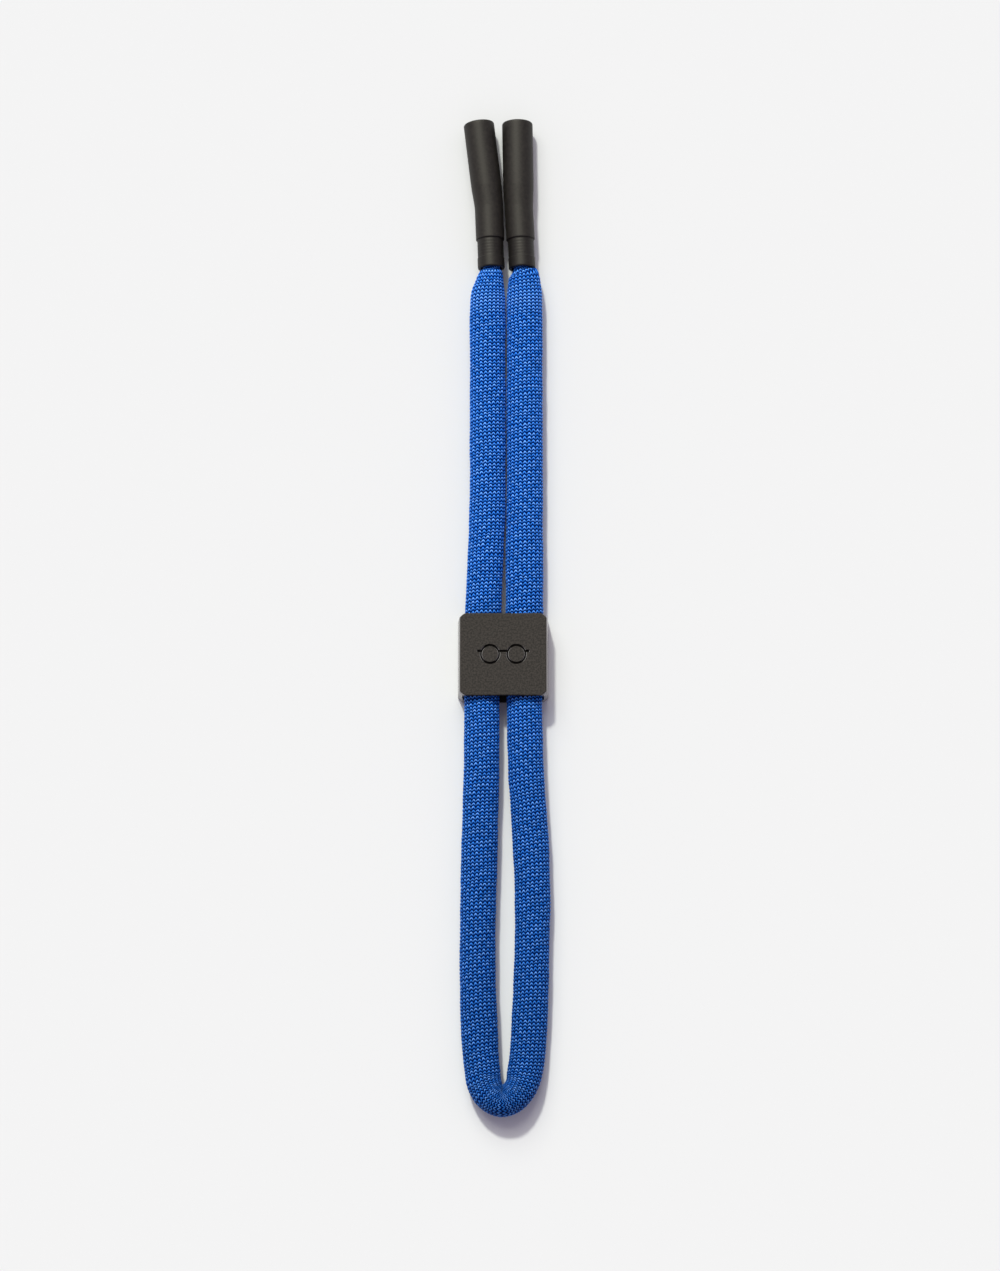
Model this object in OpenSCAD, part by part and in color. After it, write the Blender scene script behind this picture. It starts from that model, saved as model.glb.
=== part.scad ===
// Eyewear retainer strap: a soft knitted cord folded double, a slider that
// gathers its two legs, and a rubber sleeve on each end that grips a temple tip.
// Frame: origin at the centre of the slider's underside, +X to the right,
// +Y towards the sleeves, +Z up from the surface that the strap lies on.

/* [Cord] */
// Thickness of the knitted wall of the cord
knit_wall = 0.9; // [0.6:0.1:1.1]
// Gap between the knitted wall and the soft core
core_gap = 0.1; // [0.05:0.05:0.2]

/* [Slider] */
// Width of the slider's top face
slider_w = 20; // [20:0.1:22]
// Length of the slider's top face along the cord
slider_l = 19.1; // [16:0.1:22]
// Height of the slider
slider_h = 7.5; // [7.4:0.1:8]
// How much further out each side wall stands at the base
slider_draft = 0.4; // [0.2:0.1:0.6]
// How much is cut off each corner of the top face
slider_corner = 1.1; // [0.8:0.1:2]
// Width of the slot that both legs of the cord run through
slot_w = 18.7; // [18.6:0.1:19]
// Height of the slot
slot_h = 6.1; // [6:0.05:6.2]
// Corner radius of the slot
slot_corner = 2.6; // [0.5:0.1:3]

/* [Slider mark] */
// Depth of the sunk outline of a pair of spectacles
mark_depth = 0.3; // [0.1:0.05:0.4]
// Width of the sunk lines
mark_line = 0.45; // [0.25:0.05:0.5]
// Outer radius of each lens outline
mark_lens_r = 2.3; // [1.5:0.1:2.5]
// Distance between the two lens centres
mark_pitch = 6; // [5.6:0.1:8]

/* [Temple sleeve] */
// Outer diameter of the sleeve at its mouth
sleeve_mouth_d = 7.2; // [7:0.1:7.2]
// Outer diameter of the sleeve's narrower lower half
sleeve_low_d = 6.65; // [6.45:0.05:6.7]
// Diameter of the hole for the temple tip
temple_bore_d = 4; // [2.5:0.1:4.4]
// Depth of the hole for the temple tip
temple_bore_depth = 17; // [10:0.5:17]
// Length of the sleeve's wider half, from its bend to its mouth
sleeve_high_l = 20.3; // [18.5:0.1:22]
// Length of the sleeve's narrower half
sleeve_low_l = 8.4; // [8:0.1:10]

/* [Ferrule] */
// Outer diameter of the ring that the cord comes out of
ring_d = 6.3; // [6.2:0.1:6.4]
// Length of the ring
ring_l = 2.5; // [2:0.1:3]
// Outer diameter of the neck between ring and sleeve
neck_d = 6.1; // [5.8:0.1:6.1]
// Length of the neck
neck_l = 4.5; // [4:0.1:5]
// Diameter of the barbed spigot inside the sleeve
spigot_d = 4.4; // [4:0.1:4.6]
// Length of the spigot
spigot_l = 7; // [6.5:0.1:7.2]
// Diameter of the cup that holds the gathered cord end
cup_d = 4.8; // [4.7:0.1:4.9]

/* [Hidden] */
$fn = 64;

// The sleeves lie on the surface, and the cord runs at the height of their axes
axis_z = sleeve_mouth_d / 2;
slot_floor = axis_z - slot_h / 2;
// Sides of the cord's tube, and its rings between two points of the route
tube_sides = 12;
steps = 2;

// Centre line of the cord from the left ferrule, round the loop, to the right
// ferrule. Each point is [x, y, z, width, height].
left_neck_route = [
    [-2.95, 97.8, axis_z, 3.0, 3.0],
    [-2.9, 95, axis_z, 3.0, 3.0],
    [-2.75, 92.5, axis_z, 4.1, 4.1],
    [-2.75, 91.7, axis_z, 5.4, 4.8],
    [-2.9, 90.8, axis_z, 5.9, 5.1],
    [-3.25, 88.6, axis_z, 7.0, 5.6],
    [-3.6, 84.5, axis_z, 8.3, 5.9]
];
main_route = [
    [-3.6, 84.5, axis_z, 8.3, 5.9],
    [-3.6, 73, axis_z, 8.4, 5.9],
    [-3.6, 55, axis_z, 8.4, 5.9],
    [-3.6, 37, axis_z, 8.4, 5.9],
    [-4, 25, axis_z, 8.4, 5.9],
    [-4.5, 13, axis_z, 8.4, 5.9],
    [-4.8, 0, axis_z, 8.3, 5.9],
    [-4.9, -14, axis_z, 8.2, 5.9],
    [-4.9, -26, axis_z, 8.2, 5.9],
    [-5.2, -36, 3.2, 8.3, 6.0],
    [-5.5, -50, 3.1, 8.3, 6.0],
    [-5.8, -67, 3.1, 8.2, 6.0],
    [-5.6, -79, 3.1, 8.3, 6.0],
    [-5.1, -90, 3.1, 8.3, 6.0],
    [-4.6, -94.8, 3.4, 8.1, 6.5],
    [-4.2, -97.3, 3.7, 7.8, 7.1],
    [-2.9, -99.8, 4.0, 7.5, 7.7],
    [-0.4, -101.1, 4.1, 7.3, 8.0],
    [2.2, -100.2, 4.0, 7.2, 7.7],
    [4, -97.9, 3.7, 7.4, 7.1],
    [4.8, -95, 3.4, 8.0, 6.5],
    [5.5, -90, 3.1, 8.2, 6.0],
    [6.1, -79, 3.1, 8.1, 6.0],
    [6.5, -67, 3.1, 8.0, 6.0],
    [6.6, -54, 3.1, 8.2, 6.0],
    [6.1, -40, 3.1, 8.3, 6.0],
    [5.2, -27, axis_z, 8.2, 5.9],
    [4.9, -14, axis_z, 8.2, 5.9],
    [4.8, 0, axis_z, 8.5, 5.9],
    [4.9, 13, axis_z, 8.7, 5.9],
    [4.9, 25, axis_z, 8.7, 5.9],
    [5, 37, axis_z, 8.4, 5.9],
    [5, 55, axis_z, 8.4, 5.9],
    [5, 73, axis_z, 8.4, 5.9],
    [5, 84.5, axis_z, 8.3, 5.9]
];
right_neck_route = [
    [5, 84.5, axis_z, 8.3, 5.9],
    [5, 88.6, axis_z, 7.7, 5.8],
    [4.9, 90.7, axis_z, 7.1, 5.5],
    [4.65, 91.5, axis_z, 6.1, 5.0],
    [4.45, 92.5, axis_z, 4.0, 4.0],
    [4.3, 95, axis_z, 3.0, 3.0],
    [4.15, 97.8, axis_z, 3.0, 3.0]
];

// Where each ferrule's ring starts, which way the ferrule leans, and how much
// further the soft sleeve's upper half bends.
left_end = [-2.75, 92.5];
left_lean = 2.2;
left_bend = 4.6;
right_end = [4.45, 92.5];
right_lean = 2.9;
right_bend = -2;

crimp_r = 1.65;
crimp_start = 2;
crimp_l = 3;
cup_depth = 6;
neck_end = ring_l + neck_l;
barb = 0.15;

cord_blue = [0.08, 0.27, 0.75];
core_white = [0.85, 0.86, 0.88];
rubber_black = [0.12, 0.12, 0.11];
metal_grey = [0.6, 0.6, 0.62];

// One point of a smooth curve through a, b, c and d, between b and c
function between(a, b, c, d, t) =
    b + (c - a) * t / 2
    + (2 * a - 5 * b + 4 * c - d) * t * t / 2
    + (3 * b - a - 3 * c + d) * t * t * t / 2;

// The smooth curve through every point of a route
function smooth(route, n) =
    let (last = len(route) - 1)
    [
        for (i = [0 : last - 1], k = [0 : n - 1])
            between(
                route[max(i - 1, 0)], route[i], route[i + 1],
                route[min(i + 2, last)], k / n
            ),
        route[last]
    ];

function place(p) = [p[0], p[1], p[2]];
function unit(v) = v / norm(v);

// The points of one oval ring across the curve at sample i, shrunk all round.
// Both end rings face along Y, so that two tubes meet face to face.
function ring(samples, i, shrink) =
    let (
        last = len(samples) - 1,
        step = place(samples[min(i + 1, last)]) - place(samples[max(i - 1, 0)]),
        along = i == 0 || i == last ? [0, sign(step[1]), 0] : unit(step),
        side = unit(cross(along, [0, 0, 1])),
        up = cross(side, along),
        half_w = samples[i][3] / 2 - shrink,
        half_h = samples[i][4] / 2 - shrink
    )
    [
        for (k = [0 : tube_sides - 1])
            let (turn = 360 * k / tube_sides)
            place(samples[i])
            + side * half_w * cos(turn)
            + up * half_h * sin(turn)
    ];

// A closed tube of oval rings along a route
module tube(route, shrink = 0) {
    samples = smooth(route, steps);
    n = tube_sides;
    last = len(samples) - 1;
    points = [for (i = [0 : last]) each ring(samples, i, shrink)];
    walls = [
        for (i = [0 : last - 1], k = [0 : n - 1])
            let (a = i * n + k, b = i * n + (k + 1) % n)
            each [[a, b, a + n], [b, b + n, a + n]]
    ];
    start = [for (k = [n - 1 : -1 : 0]) k];
    finish = [for (k = [0 : n - 1]) last * n + k];
    polyhedron(points, concat([start, finish], walls), convexity = 10);
}

// The same route, made longer at both ends so that it cuts right through
function overrun(route) =
    let (last = len(route) - 1)
    [
        route[0] + (route[0] - route[1]) / 20,
        for (i = [1 : last - 1]) route[i],
        route[last] + (route[last] - route[last - 1]) / 20
    ];

// Knitted wall of the cord, from one neck round the loop to the other
module knit_cord() {
    color(cord_blue)
        difference() {
            tube(main_route);
            tube(overrun(main_route), knit_wall);
        }
}

// Soft filler that keeps the knitted tube round
module cord_core() {
    color(core_white)
        tube(main_route, knit_wall + core_gap);
}

// Gathered end of the cord, from its full width into the ferrule's cup
module left_neck() {
    color(cord_blue) tube(left_neck_route);
}

module right_neck() {
    color(cord_blue) tube(right_neck_route);
}

// Stands a child that is drawn along +Z on an end of the cord, facing +Y
module on_end(place, lean) {
    translate([place[0], place[1], axis_z])
        rotate([0, 0, lean])
            rotate([-90, 0, 0])
                children();
}

// Band crushed round the gathered cord end inside the cup
module crimp() {
    color(metal_grey)
        rotate_extrude()
            translate([crimp_r, crimp_start])
                square([cup_d / 2 - 0.05 - crimp_r, crimp_l]);
}

// Ring and neck in one piece, with a cup for the cord and a barbed spigot
module ferrule() {
    spigot_r = spigot_d / 2;
    color(rubber_black)
        rotate_extrude()
            polygon([
                [cup_d / 2, 0],
                [ring_d / 2, 0],
                [ring_d / 2, ring_l],
                [neck_d / 2, ring_l],
                [neck_d / 2, neck_end],
                [spigot_r, neck_end],
                [spigot_r, neck_end + 2],
                [spigot_r + barb, neck_end + 2],
                [spigot_r, neck_end + 4],
                [spigot_r + barb, neck_end + 4],
                [spigot_r, neck_end + 6],
                [spigot_r, neck_end + spigot_l - 0.5],
                [spigot_r - 0.5, neck_end + spigot_l],
                [0, neck_end + spigot_l],
                [0, cup_depth],
                [cup_d / 2, cup_depth]
            ]);
}

// Lower half of the sleeve, with the socket for the ferrule's spigot
module sleeve_low() {
    difference() {
        cylinder(d = sleeve_low_d, h = sleeve_low_l);
        translate([0, 0, -1]) cylinder(d = spigot_d, h = spigot_l + 1.2);
    }
}

// Upper half of the sleeve, from inside the lower half to the mouth, with the
// blind hole for the temple tip
module sleeve_high() {
    low_r = sleeve_low_d / 2;
    mouth_r = sleeve_mouth_d / 2;
    difference() {
        rotate_extrude()
            polygon([
                [0, -0.7],
                [low_r - 0.3, -0.7],
                [low_r + 0.05, -0.35],
                [low_r + 0.13, 1.8],
                [mouth_r - 0.05, 4.2],
                [mouth_r, 6.5],
                [mouth_r, sleeve_high_l - 0.5],
                [mouth_r - 0.15, sleeve_high_l - 0.15],
                [mouth_r - 0.5, sleeve_high_l],
                [0, sleeve_high_l]
            ]);
        translate([0, 0, sleeve_high_l - temple_bore_depth])
            cylinder(d = temple_bore_d, h = temple_bore_depth + 1);
    }
}

// Rubber sleeve: a plug-in socket below, a slight bend, a blind hole above
module sleeve(bend) {
    color(rubber_black)
        translate([0, 0, neck_end]) {
            sleeve_low();
            translate([0, 0, sleeve_low_l])
                rotate([0, bend, 0])
                    sleeve_high();
        }
}

module left_crimp() {
    on_end(left_end, left_lean) crimp();
}

module right_crimp() {
    on_end(right_end, right_lean) crimp();
}

module left_ferrule() {
    on_end(left_end, left_lean) ferrule();
}

module right_ferrule() {
    on_end(right_end, right_lean) ferrule();
}

module left_sleeve() {
    on_end(left_end, left_lean) sleeve(-left_bend);
}

module right_sleeve() {
    on_end(right_end, right_lean) sleeve(-right_bend);
}

// A wall-to-wall block whose two end walls lean out towards the base
module leaning_block(top, depth) {
    foot = top / 2 + slider_draft;
    rotate([90, 0, 0])
        translate([0, 0, -depth / 2])
            linear_extrude(depth)
                polygon([[-foot, 0], [foot, 0], [top / 2, slider_h], [-top / 2, slider_h]]);
}

// The slider's outer form: four leaning walls with their corners cut off flat
module slider_form() {
    inner_w = slider_w - 2 * slider_corner;
    inner_l = slider_l - 2 * slider_corner;
    leaning_block(slider_w, inner_l);
    rotate([0, 0, 90]) leaning_block(slider_l, inner_w);
    for (x = [-inner_w / 2, inner_w / 2], y = [-inner_l / 2, inner_l / 2])
        translate([x, y, 0])
            cylinder(
                r1 = slider_corner + slider_draft, r2 = slider_corner,
                h = slider_h, $fn = 4
            );
}

// Rounded slot, cut right through along the cord
module slot() {
    x = slot_w / 2 - slot_corner;
    y = slot_h / 2 - slot_corner;
    length = slider_l + 4;
    translate([0, length / 2, slot_floor + slot_h / 2])
        rotate([90, 0, 0])
            linear_extrude(length) {
                square([2 * x, slot_h], center = true);
                square([slot_w, 2 * y], center = true);
                for (i = [-x, x], k = [-y, y])
                    translate([i, k]) circle(r = slot_corner);
            }
}

// Plain sunk outline of a pair of spectacles
module mark() {
    inner_r = mark_lens_r - mark_line;
    gap = mark_pitch - 2 * mark_lens_r;
    translate([0, 0, slider_h - mark_depth]) {
        for (side = [-1, 1]) {
            translate([side * mark_pitch / 2, 0, 0])
                difference() {
                    cylinder(r = mark_lens_r, h = 1);
                    translate([0, 0, -1]) cylinder(r = inner_r, h = 3);
                }
            translate([side * (mark_pitch + 2 * mark_lens_r) / 2, 0.7, 0.5])
                cube([1.3, mark_line, 1], center = true);
        }
        translate([0, 0.7, 0.5])
            cube([gap + 0.5, mark_line, 1], center = true);
    }
}

// Flat slider that both legs of the cord pass through
module slider() {
    color(rubber_black)
        difference() {
            slider_form();
            slot();
            mark();
        }
}

knit_cord();
cord_core();
left_neck();
right_neck();
left_crimp();
right_crimp();
left_ferrule();
right_ferrule();
left_sleeve();
right_sleeve();
slider();
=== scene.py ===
import math

import bmesh
import bpy
import numpy as np
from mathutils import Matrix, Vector


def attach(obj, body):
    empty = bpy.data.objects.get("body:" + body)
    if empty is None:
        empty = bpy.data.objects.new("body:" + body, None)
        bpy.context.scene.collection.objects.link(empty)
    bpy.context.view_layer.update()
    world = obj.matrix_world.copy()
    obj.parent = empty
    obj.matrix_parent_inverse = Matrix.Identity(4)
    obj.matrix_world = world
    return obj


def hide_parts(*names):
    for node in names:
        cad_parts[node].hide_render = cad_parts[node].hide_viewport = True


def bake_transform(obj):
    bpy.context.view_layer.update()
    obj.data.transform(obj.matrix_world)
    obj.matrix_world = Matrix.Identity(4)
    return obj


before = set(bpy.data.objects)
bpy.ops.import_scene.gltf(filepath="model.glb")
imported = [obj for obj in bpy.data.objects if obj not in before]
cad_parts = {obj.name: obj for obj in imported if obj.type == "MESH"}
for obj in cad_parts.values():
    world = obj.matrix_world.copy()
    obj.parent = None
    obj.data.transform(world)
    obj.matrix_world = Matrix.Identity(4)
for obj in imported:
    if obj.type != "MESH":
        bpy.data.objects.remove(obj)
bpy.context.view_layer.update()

# An eyewear retainer strap: a knitted cord folded double, a slider round both its legs
# and a rubber sleeve on each end. The sleeves lie toward +Y, and +Z is up.
MM = 0.001
TURN = 2 * math.pi

# ---------------------------------------------------------------- sizes, in metres
AXIS_Z = 0.0036

# Slider: its outside, the flats at its corners, how it widens downward, and the rounding
# of its long edges above and below
SLIDER_W = 20.0 * MM
SLIDER_L = 19.1 * MM
SLIDER_H = 7.5 * MM
SLIDER_CORNER = 1.1 * MM
SLIDER_LEAN = 0.4 * MM
SLIDER_TOP_R = 0.35 * MM
SLIDER_LOW_R = 0.22 * MM
# Its slot
SLOT_W = 18.7 * MM
SLOT_H = 6.1 * MM
SLOT_CORNER = 2.6 * MM
# Its ends: how much sooner the side walls stop, how thick walls and floor count as, and
# how far the outer edge and the slot's lip are rounded
SIDE_SHORT = 0.30 * MM
SIDE_THICK = 0.34 * MM
FLOOR_THICK = 0.55 * MM
END_EDGE = 0.28 * MM
SLOT_LIP = 0.18 * MM
# The sunk mark, and half the width and length of the patch of close steps it lies in
MARK_DEPTH = 0.3 * MM
MARK_LINE = 0.45 * MM
MARK_SOFT = 0.05 * MM
MARK_LENS_R = 2.3 * MM
MARK_PITCH = 6.0 * MM
MARK_ARM_Y = 0.7 * MM
MARK_ARM_L = 0.7 * MM
MARK_PATCH_W = 6.1 * MM
MARK_PATCH_L = 2.55 * MM

# Ferrules: ring, neck with fine ribs, cup for the cord, and spigot with barbs
RING_R = 3.15 * MM
RING_L = 2.5 * MM
NECK_R = 3.05 * MM
NECK_START = RING_L + 0.12 * MM
NECK_END = 7.0 * MM
RIBS_FROM = 2.7 * MM
RIB_PITCH = 0.72 * MM
RIB_DEPTH = 0.018 * MM
CUP_R = 2.4 * MM
CUP_L = 6.0 * MM
SPIGOT_R = 2.2 * MM
SPIGOT_TIP_R = 1.7 * MM
SPIGOT_L = 7.0 * MM
BARB_R = 2.35 * MM
BARB_PITCH = 2.0 * MM

# Sleeves: they start at NECK_END, and bend and widen a little above the spigot
SOCKET_L = 8.2 * MM
SLEEVE_LOW_R = 3.325 * MM
SLEEVE_MOUTH_R = 3.6 * MM
SLEEVE_BEND_AT = NECK_END + 8.4 * MM
SLEEVE_BEND_L = 3.6 * MM
SLEEVE_TOP = SLEEVE_BEND_AT + 20.3 * MM
TEMPLE_R = 2.0 * MM
TEMPLE_DEPTH = 17.0 * MM

# Filler: how deep it lies in the tube, the length of its steps and of its gaps at the
# ends, and the depth and length of one turn of its three strands
FILLER_INSET = 1.15 * MM
FILLER_STEP = 0.5 * MM
FILLER_GAP = 0.2 * MM
STRAND_DEPTH = 0.5 * MM
STRAND_TURN = 60.0 * MM

# Where each ferrule starts, how it leans, and how much further its sleeve bends
ENDS = {
    "left": (-0.00275, 0.0925, math.radians(2.2), math.radians(4.6)),
    "right": (0.00445, 0.0925, math.radians(2.9), math.radians(-2.0)),
}

# Knit: stitches round the tube, the length of one course of them, how many courses a
# row climbs in one turn and how far it zigzags, and how deep the gaps between rows are
WALES = 22
COURSE = 0.00082
CLIMB = 3
ZIGZAG = 0.31
YARN_DEPTH = 0.00034
# How far the crowns of the yarn stand out of the CAD's tube
PLUMP = 0.00007
# Steps across one wale and along one course
WALE_COLS = 8
COURSE_ROWS = 4
# How much closer the courses crowd at the fold, and over what length
CROWD = 0.75
CROWD_L = 0.0055
# How far rows, wales and stitches wander, in courses or wales, how much relief and
# colour vary, and how far from a join the wandering stops
ROW_DRIFT = 0.07
WALE_DRIFT = 0.08
STITCH_DRIFT = 0.03
RELIEF_DRIFT = 0.06
TONE_DRIFT = 0.035
SETTLE_L = 0.004
# A point closer to a join than this share of a course is drawn in to the ring there
END_GAP = 0.08

# Tube: its usual width and height
CORD_W = 0.0083
CORD_H = 0.0059
# How far its wall sags in at most, how much flatter it is pressed at the slider and over
# what length it swells again, and how deep and long the crease at the fold is
SLACK = 0.00010
PRESSED = 0.00028
PRESSED_L = 0.0022
CREASE = 0.0010
CREASE_L = 0.0010

# Centre line of the whole cord, from the left ferrule round the loop to the
# right ferrule. Each point is x, y, z, width, height.
ROUTE = [
    (-0.00295, 0.09780, 0.0036, 0.0030, 0.0030),
    (-0.00290, 0.09500, 0.0036, 0.0030, 0.0030),
    (-0.00275, 0.09250, 0.0036, 0.0041, 0.0041),
    (-0.00275, 0.09170, 0.0036, 0.0054, 0.0048),
    (-0.00290, 0.09080, 0.0036, 0.0059, 0.0051),
    (-0.00325, 0.08860, 0.0036, 0.0070, 0.0056),
    (-0.00360, 0.08450, 0.0036, 0.0083, 0.0059),
    (-0.00360, 0.07300, 0.0036, 0.0084, 0.0059),
    (-0.00360, 0.05500, 0.0036, 0.0084, 0.0059),
    (-0.00360, 0.03700, 0.0036, 0.0084, 0.0059),
    (-0.00400, 0.02500, 0.0036, 0.0084, 0.0059),
    (-0.00450, 0.01300, 0.0036, 0.0084, 0.0059),
    (-0.00480, 0.00000, 0.0036, 0.0083, 0.0059),
    (-0.00490, -0.01400, 0.0036, 0.0082, 0.0059),
    (-0.00490, -0.02600, 0.0036, 0.0082, 0.0059),
    (-0.00520, -0.03600, 0.0032, 0.0083, 0.0060),
    (-0.00550, -0.05000, 0.0031, 0.0083, 0.0060),
    (-0.00580, -0.06700, 0.0031, 0.0082, 0.0060),
    (-0.00560, -0.07900, 0.0031, 0.0083, 0.0060),
    (-0.00510, -0.09000, 0.0031, 0.0083, 0.0060),
    (-0.00460, -0.09480, 0.0034, 0.0081, 0.0065),
    (-0.00420, -0.09730, 0.0037, 0.0078, 0.0071),
    (-0.00290, -0.09980, 0.0040, 0.0075, 0.0077),
    (-0.00040, -0.10110, 0.0041, 0.0073, 0.0080),
    (0.00220, -0.10020, 0.0040, 0.0072, 0.0077),
    (0.00400, -0.09790, 0.0037, 0.0074, 0.0071),
    (0.00480, -0.09500, 0.0034, 0.0080, 0.0065),
    (0.00550, -0.09000, 0.0031, 0.0082, 0.0060),
    (0.00610, -0.07900, 0.0031, 0.0081, 0.0060),
    (0.00650, -0.06700, 0.0031, 0.0080, 0.0060),
    (0.00660, -0.05400, 0.0031, 0.0082, 0.0060),
    (0.00610, -0.04000, 0.0031, 0.0083, 0.0060),
    (0.00520, -0.02700, 0.0036, 0.0082, 0.0059),
    (0.00490, -0.01400, 0.0036, 0.0082, 0.0059),
    (0.00480, 0.00000, 0.0036, 0.0085, 0.0059),
    (0.00490, 0.01300, 0.0036, 0.0087, 0.0059),
    (0.00490, 0.02500, 0.0036, 0.0087, 0.0059),
    (0.00500, 0.03700, 0.0036, 0.0084, 0.0059),
    (0.00500, 0.05500, 0.0036, 0.0084, 0.0059),
    (0.00500, 0.07300, 0.0036, 0.0084, 0.0059),
    (0.00500, 0.08450, 0.0036, 0.0083, 0.0059),
    (0.00500, 0.08860, 0.0036, 0.0077, 0.0058),
    (0.00490, 0.09070, 0.0036, 0.0071, 0.0055),
    (0.00465, 0.09150, 0.0036, 0.0061, 0.0050),
    (0.00445, 0.09250, 0.0036, 0.0040, 0.0040),
    (0.00430, 0.09500, 0.0036, 0.0030, 0.0030),
    (0.00415, 0.09780, 0.0036, 0.0030, 0.0030),
]
# The points of it where the necks end, and the one at the fold
LEFT_JOIN = 6
FOLD = 23
RIGHT_JOIN = 40


# ---------------------------------------------------------------- camera, light and floor
def look_along(obj, direction):
    """Turns a light so that it shines along a direction"""
    obj.rotation_euler = Vector(direction).to_track_quat("-Z", "Y").to_euler()


def make_camera():
    tilt = math.radians(11.3)
    distance = 0.85
    target = Vector((-0.00073, 0.0051, 0.0035))
    data = bpy.data.cameras.new("camera")
    data.sensor_fit = "VERTICAL"
    data.sensor_height = 36
    data.lens = 105
    data.clip_start = 0.01
    camera = bpy.data.objects.new("camera", data)
    camera.location = target + distance * Vector((0, -math.sin(tilt), math.cos(tilt)))
    camera.rotation_euler = (tilt, 0, 0)
    bpy.context.scene.collection.objects.link(camera)
    bpy.context.scene.camera = camera


def make_sun(name, energy, angle, colour):
    """A soft light from up beyond the sleeves, a little to their left"""
    data = bpy.data.lights.new(name, "SUN")
    data.energy = energy
    data.angle = math.radians(angle)
    data.color = colour
    sun = bpy.data.objects.new(name, data)
    sun.location = (-0.2, 0.6, 0.8)
    look_along(sun, (0.27, -0.84, -1.0))
    bpy.context.scene.collection.objects.link(sun)


def make_light():
    make_sun("key", 2.13, 5.0, (0.985, 1.015, 0.925))
    make_sun("glow", 1.40, 46.0, (0.985, 1.015, 0.935))
    world = bpy.data.worlds.new("studio")
    world.use_nodes = True
    sky = world.node_tree.nodes["Background"]
    sky.inputs["Color"].default_value = (1.03, 0.93, 1.15, 1)
    sky.inputs["Strength"].default_value = 0.345
    bpy.context.scene.world = world
    bpy.context.scene.view_settings.view_transform = "Standard"


def make_floor():
    mesh = bpy.data.meshes.new("floor")
    size = 4.0
    corners = [(-size, -size, 0), (size, -size, 0), (size, size, 0), (-size, size, 0)]
    mesh.from_pydata(corners, [], [(0, 1, 2, 3)])
    floor = bpy.data.objects.new("floor", mesh)
    bpy.context.scene.collection.objects.link(floor)
    paint = Paint("studio_floor")
    paint.set("Base Color", (0.764, 0.769, 0.768, 1))
    paint.set("Roughness", 0.9)
    paint.set("Specular IOR Level", 0.1)
    mesh.materials.append(paint.material)


# ---------------------------------------------------------------- materials
class Paint:
    """A material of one Principled shader, and short ways to wire nodes into it"""

    def __init__(self, name):
        self.material = bpy.data.materials.new(name)
        self.material.use_nodes = True
        self.tree = self.material.node_tree
        self.shader = self.tree.nodes["Principled BSDF"]

    def set(self, socket, value):
        target = self.shader.inputs[socket]
        if isinstance(value, bpy.types.NodeSocket):
            self.tree.links.new(value, target)
        else:
            target.default_value = value

    def node(self, kind, **inputs):
        made = self.tree.nodes.new(kind)
        for name, value in inputs.items():
            self.feed(made.inputs[name.replace("_", " ")], value)
        return made

    def feed(self, socket, value):
        if isinstance(value, bpy.types.NodeSocket):
            self.tree.links.new(value, socket)
        else:
            socket.default_value = value

    def math(self, operation, a, b=0.0):
        made = self.tree.nodes.new("ShaderNodeMath")
        made.operation = operation
        self.feed(made.inputs[0], a)
        self.feed(made.inputs[1], b)
        return made.outputs[0]

    def attribute(self, name):
        made = self.tree.nodes.new("ShaderNodeAttribute")
        made.attribute_name = name
        return made.outputs["Fac"]

    def spread(self, value, low, high, to_low=0.0, to_high=1.0):
        made = self.tree.nodes.new("ShaderNodeMapRange")
        for name, given in zip(
            ("Value", "From Min", "From Max", "To Min", "To Max"),
            (value, low, high, to_low, to_high),
        ):
            self.feed(made.inputs[name], given)
        return made.outputs[0]

    def ramp(self, value, stops):
        made = self.tree.nodes.new("ShaderNodeValToRGB")
        ramp = made.color_ramp
        while len(ramp.elements) < len(stops):
            ramp.elements.new(0.5)
        for element, (place, colour) in zip(ramp.elements, stops):
            element.position = place
            element.color = (*colour, 1)
        self.feed(made.inputs["Fac"], value)
        return made.outputs["Color"]

    def mix(self, factor, a, b, blend="MIX"):
        made = self.tree.nodes.new("ShaderNodeMix")
        made.data_type = "RGBA"
        made.blend_type = blend
        self.feed(made.inputs[0], factor)
        self.feed(made.inputs[6], a)
        self.feed(made.inputs[7], b)
        return made.outputs[2]

    def noise(self, vector, scale, detail=2.0, roughness=0.5):
        made = self.node("ShaderNodeTexNoise", Scale=scale, Detail=detail, Roughness=roughness)
        self.feed(made.inputs["Vector"], vector)
        return made.outputs[0]

    def place(self, output="Object"):
        return self.tree.nodes.new("ShaderNodeTexCoord").outputs[output]

    def stretch(self, vector, scale):
        made = self.node("ShaderNodeMapping", Vector=vector)
        made.inputs["Scale"].default_value = scale
        return made.outputs[0]

    def uv(self, name):
        made = self.tree.nodes.new("ShaderNodeUVMap")
        made.uv_map = name
        return made.outputs[0]

    def bump(self, height, distance, strength=1.0):
        made = self.node("ShaderNodeBump", Strength=strength, Distance=distance, Height=height)
        self.set("Normal", made.outputs[0])


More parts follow.
